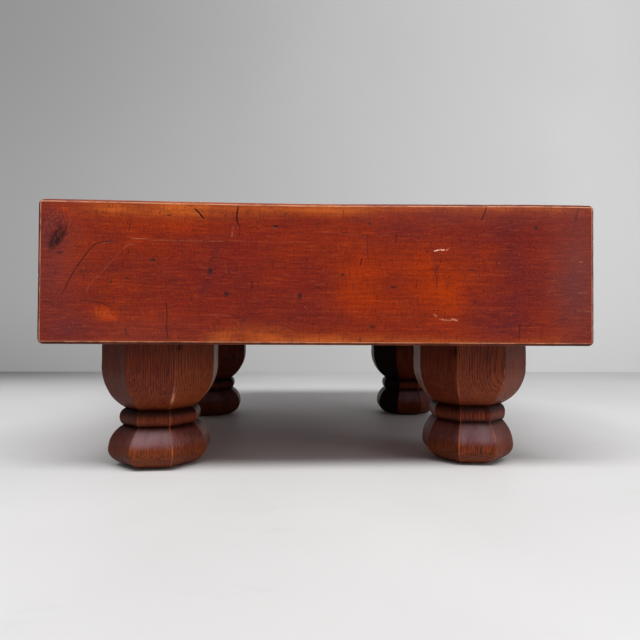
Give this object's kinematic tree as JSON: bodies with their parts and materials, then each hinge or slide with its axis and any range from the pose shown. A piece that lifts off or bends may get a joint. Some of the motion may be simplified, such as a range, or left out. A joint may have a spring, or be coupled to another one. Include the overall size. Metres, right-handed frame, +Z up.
{
  "type": "footed game board table",
  "caption": "Low floor table: a thick solid-wood slab on four carved eight-sided feet, each held by a dry round tenon.",
  "frame": {"origin": "on the floor, under the middle of the slab", "axes": "+Z up, X along the slab's long grain, -Y towards the front"},
  "size_m": [0.455, 0.424, 0.2315],
  "materials": {
    "slab_wood": "satin red-brown stained wood",
    "leg_wood": "open-pored dark brown waxed wood"
  },
  "bodies": {
    "legs": {"leg_front_left": "leg_wood", "leg_front_right": "leg_wood", "leg_back_left": "leg_wood", "leg_back_right": "leg_wood"},
    "board": {"board": "slab_wood"}
  },
  "joints": [
    {"name": "board_lift", "type": "slide", "parent": "legs", "child": "board", "axis": [0, 0, 1], "range_m": [0, 0.045]}
  ]
}
